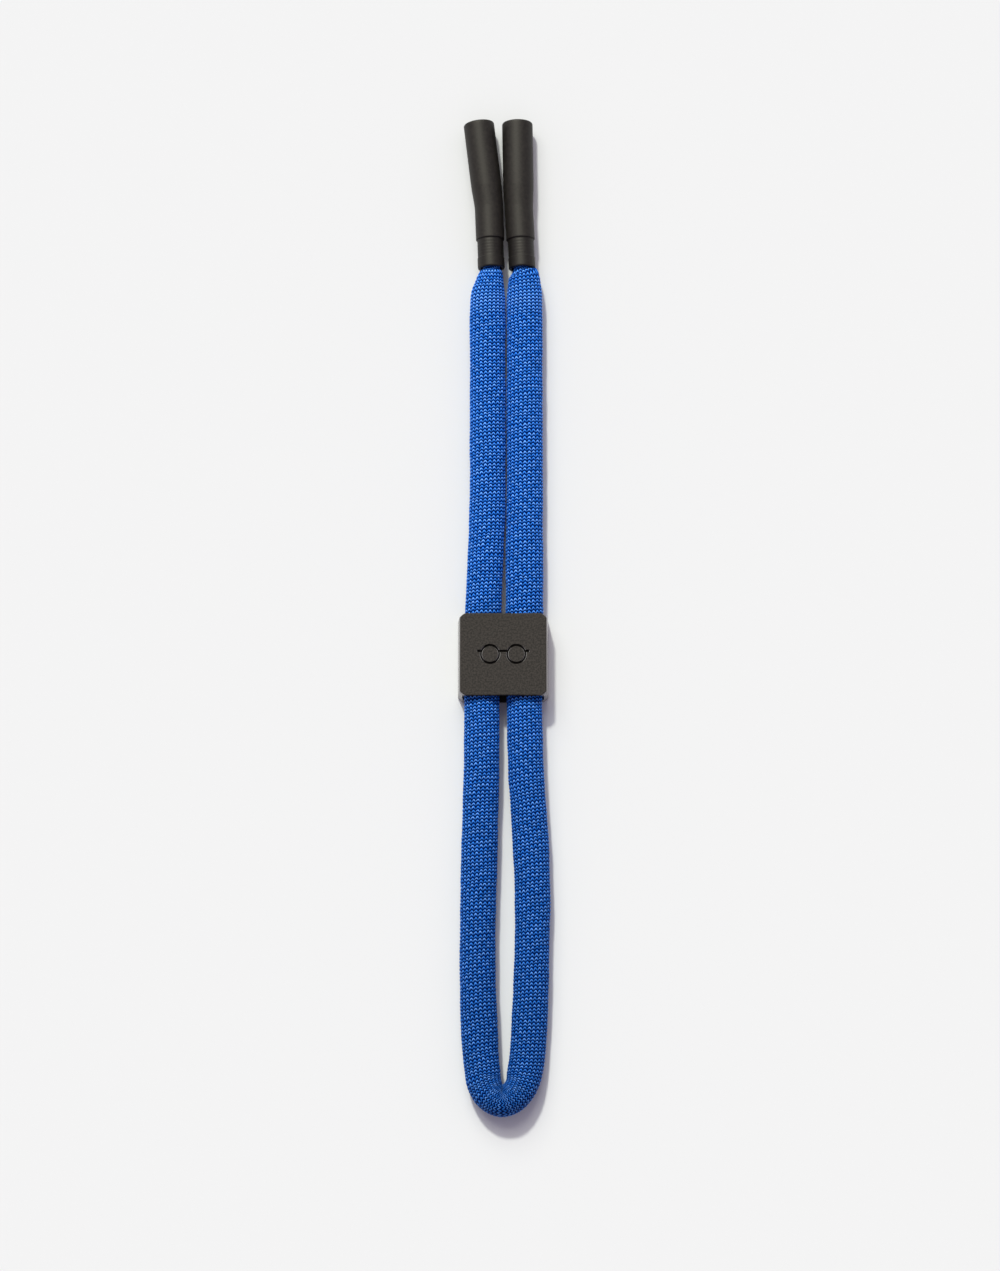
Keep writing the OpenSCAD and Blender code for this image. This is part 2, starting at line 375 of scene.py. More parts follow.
def yarn_paint():
    """Blue polyester yarn, with painted shade between the stitches and a painted highlight on
    their crowns, stronger on the arches that face the light
    """
    paint = Paint("blue_knit")
    relief = paint.attribute("relief")
    tone = paint.attribute("tone")
    arch = paint.attribute("arch")
    yarn = paint.uv("stitches")
    fibre = paint.noise(paint.stretch(yarn, (3.0, 16.0, 1.0)), 1.0, 3.0, 0.6)
    # Painted shade where the relief is low, between the rows, and a paler painted highlight where
    # it is high, on the crowns
    body = paint.ramp(
        relief,
        [
            (0.18, (0.000, 0.001, 0.030)),
            (0.54, (0.000, 0.026, 0.230)),
            (0.80, (0.020, 0.200, 0.740)),
            (1.00, (0.330, 0.570, 0.970)),
        ],
    )
    fibre_light = paint.spread(fibre, 0.3, 0.7, 0.86, 1.12)
    # A painted highlight on the arches of the zigzag that point toward the light
    arch_highlight = paint.spread(paint.math("POWER", arch, 2.0), 0.0, 1.0, 0.80, 1.66)
    both = paint.math("MULTIPLY", paint.math("MULTIPLY", tone, fibre_light), arch_highlight)
    grey = paint.node("ShaderNodeCombineColor", Red=both, Green=both, Blue=both)
    paint.set("Base Color", paint.mix(1.0, body, grey.outputs[0], "MULTIPLY"))
    paint.set("Roughness", paint.spread(fibre, 0.3, 0.7, 0.50, 0.66))
    paint.set("Specular IOR Level", paint.spread(relief, 0.5, 1.0, 0.03, 0.40))
    paint.set("Specular Tint", (0.25, 0.60, 1.0, 1))
    paint.set("Sheen Weight", 0.02)
    paint.set("Sheen Roughness", 0.4)
    paint.set("Sheen Tint", (0.35, 0.6, 1.0, 1))
    paint.bump(fibre, 0.00004, 0.6)
    return paint.material


def filler_paint():
    """White fibre filling, drawn out along the cord"""
    paint = Paint("white_filler")
    fibre = paint.noise(paint.stretch(paint.place(), (2500.0, 300.0, 2500.0)), 1.0, 4.0, 0.6)
    white = paint.ramp(fibre, [(0.3, (0.62, 0.63, 0.64)), (0.7, (0.85, 0.86, 0.88))])
    paint.set("Base Color", white)
    paint.set("Roughness", 0.9)
    paint.bump(fibre, 0.00006, 0.8)
    return paint.material


def black_paint(name, grain, shine, colour):
    """Black rubber with a fine moulded grain and a little uneven wear"""
    paint = Paint(name)
    where = paint.place()
    fine = paint.noise(where, grain, 3.0, 0.6)
    broad = paint.noise(where, grain / 3, 3.0, 0.6)
    dark = tuple(0.45 * c for c in colour)
    pale = tuple(1.70 * c for c in colour)
    worn = paint.math("ADD", paint.math("MULTIPLY", broad, 0.6), paint.math("MULTIPLY", fine, 0.4))
    paint.set("Base Color", paint.ramp(worn, [(0.38, dark), (0.62, pale)]))
    paint.set("Roughness", paint.spread(worn, 0.3, 0.7, shine - 0.05, shine + 0.05))
    paint.set("Specular IOR Level", 0.46)
    paint.set("Specular Tint", (1.0, 0.95, 0.86, 1))
    paint.bump(fine, 0.00003, 0.6)
    return paint.material


def slider_paint():
    """Matt black moulding with smoother side walls painted pale grey as a painted reflection of
    the bright floor, and painted shade in the sunk mark and just under the top edge of the ends
    """
    wall_from, wall_to = 8.6 * MM, 9.0 * MM
    deep, shallow = SLIDER_H - MARK_DEPTH, SLIDER_H - 0.2 * MARK_DEPTH
    below_top, near_top = 6.4 * MM, 6.8 * MM
    paint = Paint("slider_plastic")
    where = paint.place()
    fine = paint.noise(where, 3600.0, 4.0, 0.65)
    broad = paint.noise(where, 2400.0, 4.0, 0.65)
    facing = paint.node("ShaderNodeSeparateXYZ", Vector=paint.place("Normal"))
    spot = paint.node("ShaderNodeSeparateXYZ", Vector=where)
    # Side walls, and the outer corners of the ends below the top face, turn pale grey and
    # glossier: the grey is a painted reflection of the bright floor
    side = paint.spread(paint.math("ABSOLUTE", facing.outputs[0]), 0.45, 0.65)
    margin = paint.spread(paint.math("ABSOLUTE", spot.outputs[0]), wall_from, wall_to)
    upright = paint.spread(facing.outputs[2], 0.60, 0.30)
    wall_reflection = paint.math("MAXIMUM", side, paint.math("MULTIPLY", margin, upright))
    matt = paint.ramp(broad, [(0.43, (0.0026, 0.0018, 0.0012)), (0.57, (0.0264, 0.0215, 0.0180))])
    high = spot.outputs[2]
    # Painted shade: darker and less shiny in the sunk mark, and on the ends and the slot's roof
    # just under the top edge, fading out between 6.8 and 6.4 mm
    painted_shade = paint.spread(high, deep, shallow, 0.12, 1.0)
    painted_shade = paint.math("MAXIMUM", painted_shade, paint.spread(high, below_top, near_top, 1.0, 0.0))
    shade = paint.node("ShaderNodeCombineColor", Red=painted_shade, Green=painted_shade, Blue=painted_shade)
    matt = paint.mix(1.0, matt, shade.outputs[0], "MULTIPLY")
    paint.set("Base Color", paint.mix(wall_reflection, matt, (0.26, 0.25, 0.245, 1)))
    paint.set("Roughness", paint.spread(wall_reflection, 0.0, 1.0, 0.66, 0.24))
    paint.set("Specular IOR Level", paint.math("MULTIPLY", painted_shade, 0.45))
    paint.set("Specular Tint", (1.0, 0.94, 0.86, 1))
    paint.bump(fine, 0.00008, 0.8)
    return paint.material


def metal_paint():
    """Pressed aluminium band with fine brushed lines round it"""
    paint = Paint("crimp_aluminium")
    lines = paint.noise(paint.stretch(paint.place(), (400.0, 9000.0, 400.0)), 1.0, 2.0, 0.5)
    metal = paint.ramp(lines, [(0.3, (0.42, 0.42, 0.44)), (0.7, (0.58, 0.58, 0.60))])
    paint.set("Base Color", metal)
    paint.set("Metallic", 1.0)
    paint.set("Roughness", paint.spread(lines, 0.3, 0.7, 0.28, 0.42))
    paint.bump(lines, 0.00001, 0.4)
    return paint.material


# ---------------------------------------------------------------- mesh helpers
def new_piece(name, points, quads, tris=(), smooth=True):
    """An object from arrays of points, four-cornered faces and three-cornered faces"""
    quads = np.asarray(quads, np.int64).reshape(-1, 4)
    tris = np.asarray(tris, np.int64).reshape(-1, 3)
    mesh = bpy.data.meshes.new(name)
    mesh.vertices.add(len(points))
    mesh.vertices.foreach_set("co", np.asarray(points, np.float32).ravel())
    corners = np.concatenate([quads.ravel(), tris.ravel()]).astype(np.int32)
    mesh.loops.add(len(corners))
    mesh.loops.foreach_set("vertex_index", corners)
    starts = np.concatenate(
        [np.arange(len(quads)) * 4, 4 * len(quads) + np.arange(len(tris)) * 3]
    ).astype(np.int32)
    mesh.polygons.add(len(starts))
    mesh.polygons.foreach_set("loop_start", starts)
    mesh.update(calc_edges=True)
    mesh.validate()
    mesh.polygons.foreach_set("use_smooth", np.full(len(starts), smooth))
    piece = bpy.data.objects.new(name, mesh)
    bpy.context.scene.collection.objects.link(piece)
    return piece


def add_uv(piece, name, values):
    """A UV layer from one pair of numbers for each corner"""
    layer = piece.data.uv_layers.new(name=name)
    layer.data.foreach_set("uv", np.asarray(values, np.float32).ravel())


def add_values(piece, name, values):
    """An attribute from one number for each point"""
    layer = piece.data.attributes.new(name, "FLOAT", "POINT")
    layer.data.foreach_set("value", np.asarray(values, np.float32))


def finish_piece(piece, paint, body, slot, *nodes):
    """Paints a piece, hides the CAD nodes it stands in for, and hangs it on the body that carries
    it, if there is one
    """
    piece.data.materials.append(paint)
    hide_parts(*nodes)
    if body:
        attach(piece, body)
    return piece


# ---------------------------------------------------------------- the cord's line
def smooth_line(route, steps):
    """The smooth curve through every point of a route, as in the CAD"""
    p = np.array(route)
    a = p[np.maximum(np.arange(len(p) - 1) - 1, 0)]
    b = p[:-1]
    c = p[1:]
    d = p[np.minimum(np.arange(len(p) - 1) + 2, len(p) - 1)]
    t = (np.arange(steps) / steps)[None, :, None]
    a, b, c, d = (q[:, None, :] for q in (a, b, c, d))
    line = (
        b
        + (c - a) * t / 2
        + (2 * a - 5 * b + 4 * c - d) * t**2 / 2
        + (3 * b - a - 3 * c + d) * t**3 / 2
    )
    return np.concatenate([line.reshape(-1, p.shape[1]), p[-1:]])


def unit(v):
    return v / np.linalg.norm(v, axis=-1, keepdims=True)


LINE_STEPS = 60
LINE = smooth_line(ROUTE, LINE_STEPS)
RUN = np.concatenate([[0], np.cumsum(np.linalg.norm(np.diff(LINE[:, :3], axis=0), axis=1))])
ALONG = unit(np.gradient(LINE[:, :3], axis=0))
START_S, FOLD_S, END_S = (RUN[i * LINE_STEPS] for i in (LEFT_JOIN, FOLD, RIGHT_JOIN))
CROWDING = 1 + CROWD * np.exp(-(((RUN - FOLD_S) / CROWD_L) ** 2))
COURSES = np.concatenate(
    [[0], np.cumsum(np.diff(RUN) * (CROWDING[1:] + CROWDING[:-1]) / (2 * COURSE))]
)


def at(s, table):
    """The row of a table of the line that belongs to each distance along it"""
    return np.stack([np.interp(s, RUN, table[:, k]) for k in range(table.shape[1])], -1)


def oval_angles(count):
    """Angles that part an oval's outline into equal lengths, from its underside"""
    fine = np.linspace(-0.25, 0.75, 4001) * TURN
    outline = np.stack([CORD_W * np.cos(fine), CORD_H * np.sin(fine)], -1)
    run = np.concatenate([[0], np.cumsum(np.linalg.norm(np.diff(outline, axis=0), axis=1))])
    return np.interp(np.linspace(0, run[-1], count + 1), run, fine)


ANGLE_STEPS = 720
ANGLES = oval_angles(ANGLE_STEPS)


def angle_of(turn):
    """The oval's angle at a share of the way round its outline"""
    whole = np.floor(turn)
    inside = np.interp((turn - whole) * ANGLE_STEPS, np.arange(ANGLE_STEPS + 1), ANGLES)
    return inside + whole * TURN


def waves(seed, count, shortest, longest, most_round):
    """A few random ripples that close on themselves round the tube"""
    rng = np.random.default_rng(seed)
    length = shortest * (longest / shortest) ** rng.random(count)
    around = rng.integers(-most_round, most_round + 1, count)
    phase = rng.random(count) * TURN
    return list(zip(TURN / length, around, phase))


def ripple(s, turn, wave_list):
    """The ripples added up, mostly between -2 and 2"""
    total = np.zeros(np.broadcast(s, turn).shape)
    for pace, around, phase in wave_list:
        total += np.cos(pace * s + around * TURN * turn + phase)
    return total / math.sqrt(len(wave_list) / 2)


ROW_WAVES = waves(11, 14, 0.003, 0.030, 3)
WALE_WAVES = waves(12, 10, 0.006, 0.040, 2)
STITCH_WAVES = waves(13, 26, 0.0011, 0.004, 9)
TONE_WAVES = waves(14, 18, 0.0018, 0.020, 5)
LUMP_WAVES = waves(15, 10, 0.007, 0.045, 2)


def tube_point(s, turn, depth):
    """A point on the cord, depth below its outline. turn is the share of the way round."""
    centre = at(s, LINE)
    along = unit(at(s, ALONG))
    side = unit(np.cross(along, (0.0, 0.0, 1.0)))
    up = np.cross(side, along)
    angle = angle_of(turn)
    half_w = centre[..., 3] / 2
    half_h = centre[..., 4] / 2 - pressing(centre[..., 1])
    x = half_w * np.cos(angle)
    y = half_h * np.sin(angle)
    out = unit(np.stack([np.cos(angle) / half_w, np.sin(angle) / half_h], -1))
    slack = SLACK * (1 + np.clip(ripple(s, turn, LUMP_WAVES), -1, 1)) / 2
    deep = depth + slack + crease(s, angle) - PLUMP
    x = x - out[..., 0] * deep
    y = y - out[..., 1] * deep
    return centre[..., :3] + side * x[..., None] + up * y[..., None]


def pressing(y):
    """How much flatter the cord lies, above and below, where the slider rests on it"""
    past = np.maximum(np.abs(y) - SLIDER_L / 2, 0)
    return PRESSED * np.exp(-((past / PRESSED_L) ** 2))


def crease(s, angle):
    """How far the folded tube tucks in, most on the inside of the loop"""
    inner = (1 - np.cos(angle)) / 2
    return CREASE * inner * np.exp(-(((s - FOLD_S) / CREASE_L) ** 2))


# ---------------------------------------------------------------- the knit
def zigzag(u):
    """The line of one course across the wales, 1 at the peaks and -1 in the valleys"""
    bend = 0.93
    return np.arcsin(bend * np.cos(TURN * u)) / math.asin(bend)


def courses_to(s):
    """Courses counted along the cord. They crowd together round the fold."""
    return np.interp(s, RUN, COURSES)


def stitch(course, u, arch):
    """How far the yarn stands up at a place in its course, 0 between rows to 1. It is a
    little thinner and lower where the zigzag turns, and lower again off the arches."""
    meeting = np.cos(TURN * u) ** 4
    half = 0.37 - 0.05 * meeting
    across = course - np.floor(course) - 0.5
    crown = np.sqrt(np.clip(1 - (across / half) ** 2, 0, None))
    return crown * (1 - 0.10 * meeting) * (1 - 0.10 * (1 - arch) ** 2)


def course_at(s, u):
    """The course that a place on the tube lies in"""
    return courses_to(s) + CLIMB * u / WALES - ZIGZAG * zigzag(u)


def darker_toward_loop(s):
    """The yarn is drawn a little darker toward the loop"""
    return np.interp(at(s, LINE)[..., 1], (-0.105, -0.030, 0.030, 0.090), (0.60, 0.83, 1.05, 1.12))


def arch_light(s, u):
    """How far a place lies on an arch of the zigzag that points to the sleeves, toward the light,
    0 to 1. The yarn stands a little lower off these arches, and the arches get a painted
    highlight.
    """
    return 0.5 + 0.5 * np.cos(TURN * u) * np.clip(1.3 * at(s, ALONG)[..., 1], -1, 1)


def ring_relief(s, u):
    """How far the yarn stands up round one section of the tube"""
    return stitch(course_at(s, u), u, arch_light(s, u))


def relief_depth(s, relief):
    """How deep a point lies below the tube's outline, less where the tube is narrow"""
    width = np.interp(s, RUN, LINE[:, 3])
    return YARN_DEPTH * (width / CORD_W) * (1 - relief)


def ring_point(s, u):
    """A point round one section of the tube, with the yarn's relief"""
    return tube_point(s, u / WALES, relief_depth(s, ring_relief(s, u)))


def ring_normals(s, u):
    """Exact normals at a join, so that two pieces of the cord meet without a line"""
    ds = 0.00002
    du = 0.02
    along = ring_point(s + ds, u) - ring_point(s - ds, u)
    around = ring_point(s, u + du) - ring_point(s, u - du)
    return unit(np.cross(along, around))


def drifted(plain, u, s0, s1):
    """Where each point of the grid lies once the rows and wales wander a little, and how
    free it is to. Nothing moves at the ends, so that pieces meet."""
    turn = u / WALES + 0 * plain
    free = np.clip(np.minimum(plain - s0, s1 - plain) / SETTLE_L, 0, 1)
    along = ROW_DRIFT * ripple(plain, turn, ROW_WAVES)
    along += STITCH_DRIFT * ripple(plain, turn, STITCH_WAVES)
    around = WALE_DRIFT * ripple(plain, turn, WALE_WAVES)
    around += STITCH_DRIFT * ripple(plain, turn, STITCH_WAVES[::-1])
    return plain + free * COURSE * along, turn + free * around / WALES, free


def numbered(low, high):
    """Numbers for the grid's points: first those inside, then the ring at each end. The
    last column is the first one again, where its rows have climbed by CLIMB courses."""
    cols = low.shape[1]
    inside = ~(low | high)
    n = int(inside.sum())
    ids = np.full(low.shape, -1)
    ids[inside] = np.arange(n)
    ids = np.where(low, n + np.arange(cols), ids)
    ids = np.where(high, n + cols + np.arange(cols), ids)
    shift = CLIMB * COURSE_ROWS
    seam = np.concatenate([np.full(shift, n), ids[:-shift, 0]])
    return np.concatenate([ids, seam[:, None]], axis=1), inside, n


def knit_grid(s0, s1):
    """Rows of stitches that climb round the tube between s0 and s1. Rows follow the
    yarn, and what would pass an end is drawn in to the ring there."""
    cols = WALES * WALE_COLS
    first = math.floor((courses_to(s0) - 1) * COURSE_ROWS)
    last = math.ceil((courses_to(s1) + CLIMB + 1) * COURSE_ROWS)
    u = np.arange(cols) / WALE_COLS
    course = np.arange(first, last + 1)[:, None] / COURSE_ROWS
    counted = course - CLIMB * u / WALES + ZIGZAG * zigzag(u)
    beyond = np.minimum(counted, 0) + np.maximum(counted - COURSES[-1], 0)
    plain = np.interp(counted, COURSES, RUN) + COURSE * beyond
    gap = END_GAP * COURSE
    ids, inside, n = numbered(plain <= s0 + gap, plain >= s1 - gap)
    s, turn, free = drifted(plain, u, s0, s1)
    arch = arch_light(plain, u)
    uneven = 1 + np.clip(ripple(s, turn, STITCH_WAVES), -1, 1)
    relief = stitch(course, u, arch) * (1 - RELIEF_DRIFT * free * uneven)
    deep = relief_depth(s[inside], relief[inside])
    at_s0, at_s1 = np.full(cols, s0), np.full(cols, s1)
    points = np.concatenate(
        [tube_point(s[inside], turn[inside], deep), ring_point(at_s0, u), ring_point(at_s1, u)]
    )
    places = np.concatenate([s[inside], at_s0, at_s1])
    turns = np.concatenate([turn[inside], u / WALES, u / WALES])
    shades = {
        "relief": np.concatenate([relief[inside], ring_relief(at_s0, u), ring_relief(at_s1, u)]),
        "tone": darker_toward_loop(places) * (1 + TONE_DRIFT * ripple(places, turns, TONE_WAVES)),
        "arch": np.concatenate([arch[inside], arch_light(s0, u), arch_light(s1, u)]),
    }
    return ids, points, shades, n


def knit_faces(ids):
    """The faces of the grid, with what was drawn in to a ring left out"""
    a, b, c, d = ids[:-1, :-1], ids[:-1, 1:], ids[1:, 1:], ids[1:, :-1]
    faces = np.stack([a, d, c, b], -1).reshape(-1, 4)
    same = [faces[:, k] == faces[:, (k + 1) % 4] for k in range(4)]
    doubled = sum(q.astype(int) for q in same)
    quads = np.flatnonzero(doubled == 0)
    tris = []
    for k in range(4):
        rows = np.flatnonzero((doubled == 1) & same[k])
        keep = [q for q in range(4) if q != k]
        tris.append((rows, keep))
    return faces, quads, tris


def end_caps(points, n, s0, s1):
    """A fan over each end of the tube, with points of its own so that its edge is sharp"""
    cols = WALES * WALE_COLS
    total = len(points)
    k = np.arange(cols)
    cap_points, cap_faces = [], []
    for s, base, flip in ((s0, n, False), (s1, n + cols, True)):
        cap_points += [points[base : base + cols], at(np.array([s]), LINE)[:, :3]]
        fan = np.stack([total + k, total + (k + 1) % cols, np.full(cols, total + cols)], -1)
        cap_faces.append(fan[:, ::-1] if flip else fan)
        total += cols + 1
    return np.concatenate(cap_points), np.concatenate(cap_faces)


def grid_corners(row_count, quads, tris):
    """The grid's row and column at every corner of the faces kept"""
    cols = WALES * WALE_COLS
    row, col = np.meshgrid(np.arange(row_count - 1), np.arange(cols), indexing="ij")
    rows = np.stack([row, row + 1, row + 1, row], -1).reshape(-1, 4)
    columns = np.stack([col, col, col + 1, col + 1], -1).reshape(-1, 4)
    kept = [(rows[quads], columns[quads])]
    kept += [(rows[r][:, keep], columns[r][:, keep]) for r, keep in tris]
    return [np.concatenate([pair[i].ravel() for pair in kept]).astype(float) for i in (0, 1)]


def knit_piece(name, s0, s1, strips):
    """One length of knitted tube, closed at both ends"""
    cols = WALES * WALE_COLS
    ids, points, shades, n = knit_grid(s0, s1)
    faces, quads, tris = knit_faces(ids)
    tri_faces = np.concatenate([faces[r][:, keep] for r, keep in tris])
    cap_points, caps = end_caps(points, n, s0, s1)
    all_points = np.concatenate([points, cap_points])
    piece = new_piece(name, all_points, faces[quads], np.concatenate([tri_faces, caps]))
    for shade, at_cap in (("relief", 0.0), ("tone", 1.0), ("arch", 0.5)):
        spare = np.full(len(cap_points), at_cap)
        add_values(piece, shade, np.concatenate([shades[shade], spare]))
    row, col = grid_corners(len(ids), quads, tris)
    lay_uv(piece, row, col, len(ids), strips, 3 * len(caps), len(quads))
    normals = np.zeros((len(all_points), 3))
    u = np.arange(cols) / WALE_COLS
    normals[n : n + cols] = ring_normals(np.full(cols, s0), u)
    normals[n + cols : n + 2 * cols] = ring_normals(np.full(cols, s1), u)
    piece.data.normals_split_custom_set_from_vertices(normals.tolist())
    return piece


def lay_uv(piece, row, col, row_count, strips, cap_corners, quad_count):
    """Stitch coordinates for the fibres, and the tube cut into strips for baking"""
    stitches = np.stack([col / WALE_COLS, row / COURSE_ROWS], -1)
    spare = np.zeros((cap_corners, 2))
    add_uv(piece, "stitches", np.concatenate([stitches, spare]))
    size = math.ceil((row_count - 1) / strips)
    quad_row = row[: 4 * quad_count].reshape(-1, 4).min(1)
    tri_row = row[4 * quad_count :].reshape(-1, 3).min(1)
    quad_strip = np.repeat(np.floor(quad_row / size), 4)
    strip = np.concatenate([quad_strip, np.repeat(np.floor(tri_row / size), 3)])
    margin = 0.006
    across = col / (WALES * WALE_COLS)
    x = margin + (1 - 2 * margin) * (row - strip * size) / size
    y = (strip + margin * strips + (1 - 2 * margin * strips) * across) / strips
    add_uv(piece, "OFBake", np.concatenate([np.stack([x, y], -1), spare + margin / 3]))


# ---------------------------------------------------------------- turned pieces
def rounded(profile, steps=5):
    """A closed outline of (radius, height, corner radius) points with its corners rounded"""
    made = []
    points = [np.array(p[:2], float) for p in profile]
    for i, (here, given) in enumerate(zip(points, profile)):
        back = points[i - 1] - here
        ahead = points[(i + 1) % len(points)] - here
        radius = given[2]
        if radius <= 0:
            made.append(here)
            continue
        back_len, ahead_len = np.linalg.norm(back), np.linalg.norm(ahead)
        half = math.acos(np.clip(np.dot(back, ahead) / (back_len * ahead_len), -1, 1)) / 2
        reach = min(radius / math.tan(half), 0.49 * back_len, 0.49 * ahead_len)
        start = here + back / back_len * reach
        stop = here + ahead / ahead_len * reach
        for k in range(steps + 1):
            t = k / steps
            made.append((1 - t) ** 2 * start + 2 * t * (1 - t) * here + t**2 * stop)
    return made


def divided(outline, longest):
    """The same outline with no step longer than this"""
    made = []
    for i, here in enumerate(outline):
        ahead = outline[(i + 1) % len(outline)]
        count = max(1, math.ceil(np.linalg.norm(ahead - here) / longest))
        made += [here + (ahead - here) * k / count for k in range(count)]
    return np.array(made)


def turned(outline, axis_point, sides=72):
    """A closed outline of (radius, height) turned about an axis that may bend"""
    radius, height = outline[:, 0], outline[:, 1]
    angle = np.arange(sides) / sides * TURN
    centre, across = axis_point(height)
    east = np.cos(angle)[None, :, None] * across[:, None, :]
    north = np.sin(angle)[None, :, None] * np.array([0.0, 1.0, 0.0])
    points = centre[:, None, :] + radius[:, None, None] * (east + north)
    n = len(outline)
    i, k = np.meshgrid(np.arange(n), np.arange(sides), indexing="ij")
    nxt, kn = (i + 1) % n, (k + 1) % sides
    quads = np.stack([i * sides + k, i * sides + kn, nxt * sides + kn, nxt * sides + k], -1)
    return points.reshape(-1, 3), quads.reshape(-1, 4)


def on_end(points, side):
    """From an end's own frame, drawn along +Z, to the strap's frame"""
    x, y, lean, _ = ENDS[side]
    flat = np.stack([points[:, 0], points[:, 2], -points[:, 1]], -1)
    c, s = math.cos(lean), math.sin(lean)
    turned_flat = np.stack(
        [c * flat[:, 0] - s * flat[:, 1], s * flat[:, 0] + c * flat[:, 1], flat[:, 2]], -1
    )
    return turned_flat + np.array([x, y, AXIS_Z])


def welded(name, points, quads):
    """A piece whose doubled points are merged, which drops the faces that had no area"""
    piece = new_piece(name, points, quads)
    bm = bmesh.new()
    bm.from_mesh(piece.data)
    bmesh.ops.remove_doubles(bm, verts=bm.verts, dist=1e-7)
    bmesh.ops.recalc_face_normals(bm, faces=bm.faces)
    bm.to_mesh(piece.data)
    bm.free()
    return piece


def straight_axis(height):
    """Where an axis without a bend is at each height, and which way is across it"""
    centre = np.stack([0 * height, 0 * height, height], -1)
    across = np.stack([1 + 0 * height, 0 * height, 0 * height], -1)
    return centre, across


def bent_axis(bend):
    """An axis that turns through a slight bend, as the soft sleeve does"""
    fine = np.linspace(0, 40 * MM, 801)
    t = np.clip((fine - SLEEVE_BEND_AT + SLEEVE_BEND_L / 2) / SLEEVE_BEND_L, 0, 1)
    angle = -bend * t * t * (3 - 2 * t)
    step = fine[1]
    x = np.concatenate([[0], np.cumsum(np.sin(angle[:-1])) * step])
    z = np.concatenate([[0], np.cumsum(np.cos(angle[:-1])) * step])

    def axis_point(height):
        lean = np.interp(height, fine, angle)
        centre = np.stack([np.interp(height, fine, x), 0 * height, np.interp(height, fine, z)], -1)
        across = np.stack([np.cos(lean), 0 * height, -np.sin(lean)], -1)
        return centre, across

    return axis_point


def make_ferrule(side):
    """Ring, ribbed neck, cup for the cord and barbed spigot, in one turned piece"""
    end = NECK_END
    outline = rounded(
        [
            (0, CUP_L, 0),
            (CUP_R, CUP_L, 0.2 * MM),
            (CUP_R, 0, 0.25 * MM),
            (RING_R, 0, 0.35 * MM),
            (RING_R, RING_L, 0.12 * MM),
            (NECK_R, NECK_START, 0.05 * MM),
            (NECK_R, end, 0.08 * MM),
            (SPIGOT_R, end, 0.05 * MM),
            (SPIGOT_R, end + BARB_PITCH, 0),
            (BARB_R, end + BARB_PITCH, 0.04 * MM),
            (SPIGOT_R, end + 2 * BARB_PITCH, 0),
            (BARB_R, end + 2 * BARB_PITCH, 0.04 * MM),
            (SPIGOT_R, end + 3 * BARB_PITCH, 0.05 * MM),
            (SPIGOT_R, end + SPIGOT_L - 0.5 * MM, 0.15 * MM),
            (SPIGOT_TIP_R, end + SPIGOT_L, 0.15 * MM),
            (0, end + SPIGOT_L, 0),
        ]
    )
    outline = divided(outline, 0.09 * MM)
    radius, height = outline[:, 0], outline[:, 1]
    on_neck = (radius > 3.0 * MM) & (height > RIBS_FROM) & (height < end - 0.1 * MM)
    ribs = 0.5 - 0.5 * np.cos((height - RIBS_FROM) / RIB_PITCH * TURN)
    outline[:, 0] -= on_neck * RIB_DEPTH * ribs**2
    points, quads = turned(outline, straight_axis)
    piece = welded(side + "_ferrule_moulding", on_end(points, side), quads)
    return finish_piece(piece, FERRULE, side + "_end", "ferrule", side + "_ferrule")


def make_sleeve(side):
    """Soft sleeve: socket below, a slight bend and flare, blind bore above"""
    low, mouth, foot, bent = SLEEVE_LOW_R, SLEEVE_MOUTH_R, NECK_END, SLEEVE_BEND_AT
    floor = SLEEVE_TOP - TEMPLE_DEPTH
    outline = rounded(
        [
            (0, foot + SOCKET_L, 0),
            (SPIGOT_R, foot + SOCKET_L, 0.1 * MM),
            (SPIGOT_R, foot, 0.12 * MM),
            (low, foot, 0.22 * MM),
            (low, bent - 0.6 * MM, 3 * MM),
            (low + 0.10 * MM, bent + 1.6 * MM, 4 * MM),
            (mouth - 0.03 * MM, bent + 4.4 * MM, 4 * MM),
            (mouth, bent + 7 * MM, 3 * MM),
            (mouth, SLEEVE_TOP, 0.55 * MM),
            (TEMPLE_R, SLEEVE_TOP, 0.3 * MM),
            (TEMPLE_R, floor, 0.3 * MM),
            (0, floor, 0),
        ],
        8,
    )
    outline = divided(outline, 0.45 * MM)
    _, _, _, bend = ENDS[side]
    points, quads = turned(outline, bent_axis(bend))
    piece = welded(side + "_sleeve_rubber", on_end(points, side), quads)
    return finish_piece(piece, RUBBER, side + "_end", "rubber", side + "_sleeve")


# ---------------------------------------------------------------- slider
def mark_distance(x, y):
    """Distance to the centre line of a plain outline of spectacles"""
    mid_r = MARK_LENS_R - MARK_LINE / 2
    best = np.full(np.broadcast(x, y).shape, 1.0)
    for side in (-1, 1):
        lens = np.abs(np.hypot(x - side * MARK_PITCH / 2, y) - mid_r)
        best = np.minimum(best, lens)
    inner, outer = MARK_PITCH / 2 - mid_r, MARK_PITCH / 2 + mid_r
    for x0, x1 in ((-inner, inner), (outer, outer + MARK_ARM_L), (-outer - MARK_ARM_L, -outer)):
        off_x = np.maximum(np.maximum(x0 - x, x - x1), 0)
        best = np.minimum(best, np.hypot(off_x, y - MARK_ARM_Y))
    return best


def engrave(layers):
    """Sinks the mark into the top face"""
    x, y, z = layers[..., 0], layers[..., 1], layers[..., 2]
    on_top = z > SLIDER_H - 1e-6
    inside = MARK_LINE / 2 + MARK_SOFT - mark_distance(x, y)
    t = np.clip(inside / (2 * MARK_SOFT), 0, 1)
    layers[..., 2] = z - on_top * MARK_DEPTH * t * t * (3 - 2 * t)
    return layers


